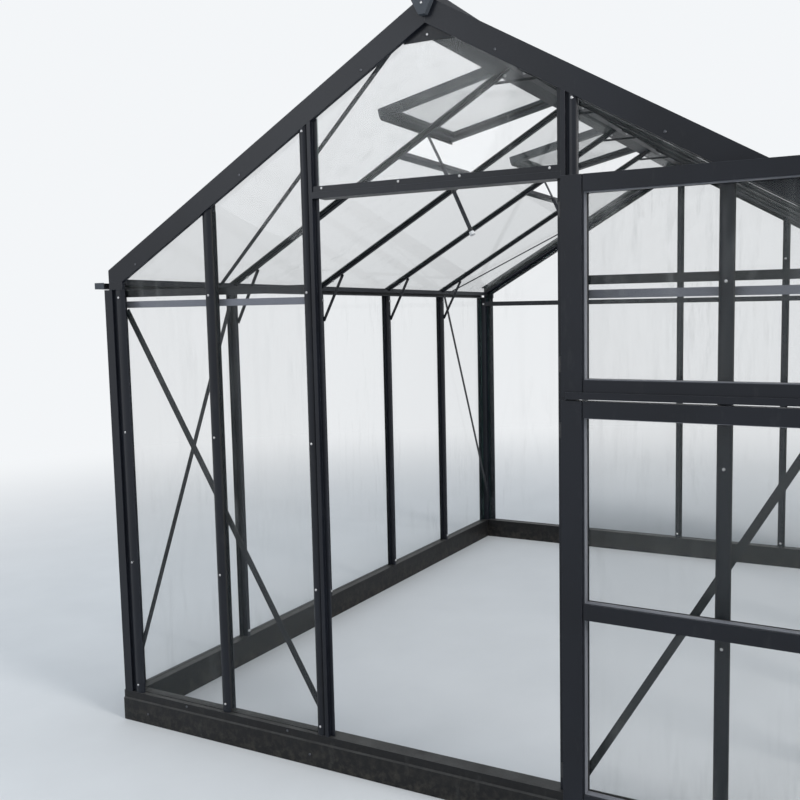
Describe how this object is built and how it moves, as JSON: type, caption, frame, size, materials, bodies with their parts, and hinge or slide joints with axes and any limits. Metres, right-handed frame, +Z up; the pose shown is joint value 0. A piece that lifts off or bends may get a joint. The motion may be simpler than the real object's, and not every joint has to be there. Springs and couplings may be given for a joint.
{
  "type": "glass greenhouse",
  "caption": "Gable-roofed walk-in glass greenhouse on a black aluminium frame, with a split hinged door in the front gable and roof vents standing open.",
  "frame": {"origin": "ground level on the front face of the front gable, in the middle of the doorway", "axes": "+X to the right seen from outside the door, +Y into the house along its length, +Z up"},
  "size_m": [2.94, 3.4254, 2.5858],
  "materials": {
    "frame_coating": "satin black powder coat on aluminium",
    "fitting_coating": "black coated hinges and latches",
    "opener_metal": "dark anodised vent opener",
    "clear_glass": "clear horticultural glass"
  },
  "bodies": {
    "house": {"front_base_rail": "frame_coating", "back_base_rail": "frame_coating", "left_base_rail": "frame_coating", "right_base_rail": "frame_coating", "front_corner_posts": "frame_coating", "back_corner_posts": "frame_coating", "door_jambs": "frame_coating", "door_head": "frame_coating", "front_gable_bars": "frame_coating", "back_gable_bars": "frame_coating", "front_left_rafter": "frame_coating", "front_right_rafter": "frame_coating", "back_left_rafter": "frame_coating", "back_right_rafter": "frame_coating", "ridge_beam": "frame_coating", "ridge_end_caps": "frame_coating", "apex_gussets": "frame_coating", "left_eave_beam": "frame_coating", "right_eave_beam": "frame_coating", "left_gutter": "frame_coating", "right_gutter": "frame_coating", "gutter_end_caps": "frame_coating", "left_wall_bars": "frame_coating", "right_wall_bars": "frame_coating", "left_roof_bars": "frame_coating", "right_roof_bars": "frame_coating", "vent_stiles": "frame_coating", "vent_rails": "frame_coating", "vent_sills": "frame_coating", "ridge_collars": "frame_coating", "front_tie_bars": "frame_coating", "back_tie_bars": "frame_coating", "front_gable_braces": "frame_coating", "wall_braces": "frame_coating", "roof_braces": "frame_coating", "knee_braces": "frame_coating", "left_wall_glass": "clear_glass", "right_wall_glass": "clear_glass", "left_roof_glass": "clear_glass", "right_roof_glass": "clear_glass", "front_gable_glass": "clear_glass", "over_door_glass": "clear_glass", "back_gable_glass": "clear_glass", "vent_glass": "clear_glass", "hinge_brackets": "fitting_coating", "vent_openers": "opener_metal"},
    "upper_door": {"upper_door_stiles": "frame_coating", "upper_door_rails": "frame_coating", "upper_door_seam_strip": "frame_coating", "upper_door_glass": "clear_glass", "upper_door_hinges": "fitting_coating", "upper_door_latch": "fitting_coating"},
    "lower_door": {"lower_door_stiles": "frame_coating", "lower_door_rails": "frame_coating", "lower_door_glass": "clear_glass", "lower_door_hinges": "fitting_coating", "lower_door_latch": "fitting_coating"}
  },
  "joints": [
    {"name": "upper_door_swing", "type": "hinge", "parent": "house", "child": "upper_door", "pos_m": [0.4545, -0.042, 1.66], "axis": [0, 0, 1], "range_deg": [-179.5, 0.5]},
    {"name": "lower_door_swing", "type": "hinge", "parent": "house", "child": "lower_door", "pos_m": [0.4545, -0.042, 0.73], "axis": [0, 0, 1], "range_deg": [-178.5, 1.5]}
  ]
}
